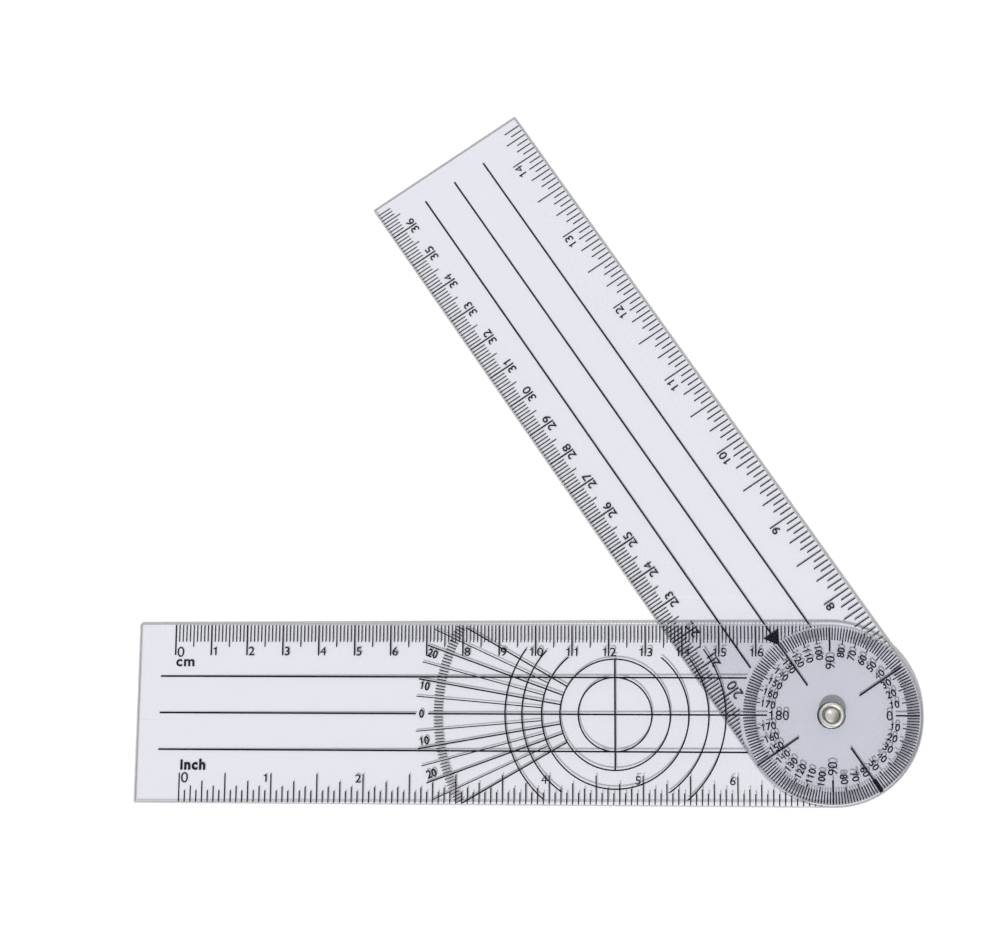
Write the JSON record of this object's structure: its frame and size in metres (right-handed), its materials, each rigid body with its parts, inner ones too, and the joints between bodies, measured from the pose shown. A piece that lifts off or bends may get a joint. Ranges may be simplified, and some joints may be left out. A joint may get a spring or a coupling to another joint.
{
  "type": "two-arm angle finder",
  "caption": "Clear plastic angle finder: printed ruler arms joined by a rivet, with a degree dial, centimetre and inch scales, a circle template and an angle fan.",
  "frame": {"origin": "on the pivot's axis, at the flat foot of the rivet's rear head", "axes": "+Z along the pivot's axis from the rear head to the front; the dial arm runs along -X; +Y towards the dial arm's centimetre edge"},
  "size_m": [0.2145, 0.1952, 0.0043],
  "materials": {
    "clear_plastic": "clear, smooth and thin, with a faint blue-grey cast that deepens where two arms overlap",
    "black_ink": "thin black print on the underside",
    "rivet_metal": "bright nickel, turned and lightly worn"
  },
  "bodies": {
    "dial_arm": {"dial_arm": "clear_plastic", "pivot_rivet": "rivet_metal", "front_washer": "rivet_metal", "degree_dial": "black_ink", "dial_arm_cm_scale": "black_ink", "dial_arm_inch_scale": "black_ink", "dial_arm_guide_lines": "black_ink", "circle_template": "black_ink", "angle_fan": "black_ink"},
    "pointer_arm": {"pointer_arm": "clear_plastic", "pointer_arm_cm_scale": "black_ink", "pointer_arm_inch_scale": "black_ink", "pointer_arm_guide_lines": "black_ink", "pointer_arm_index_marks": "black_ink"}
  },
  "joints": [
    {"name": "arm_pivot", "type": "hinge", "parent": "dial_arm", "child": "pointer_arm", "pos_m": [0, 0, 0.0015], "axis": [0, 0, 1], "continuous": true}
  ]
}
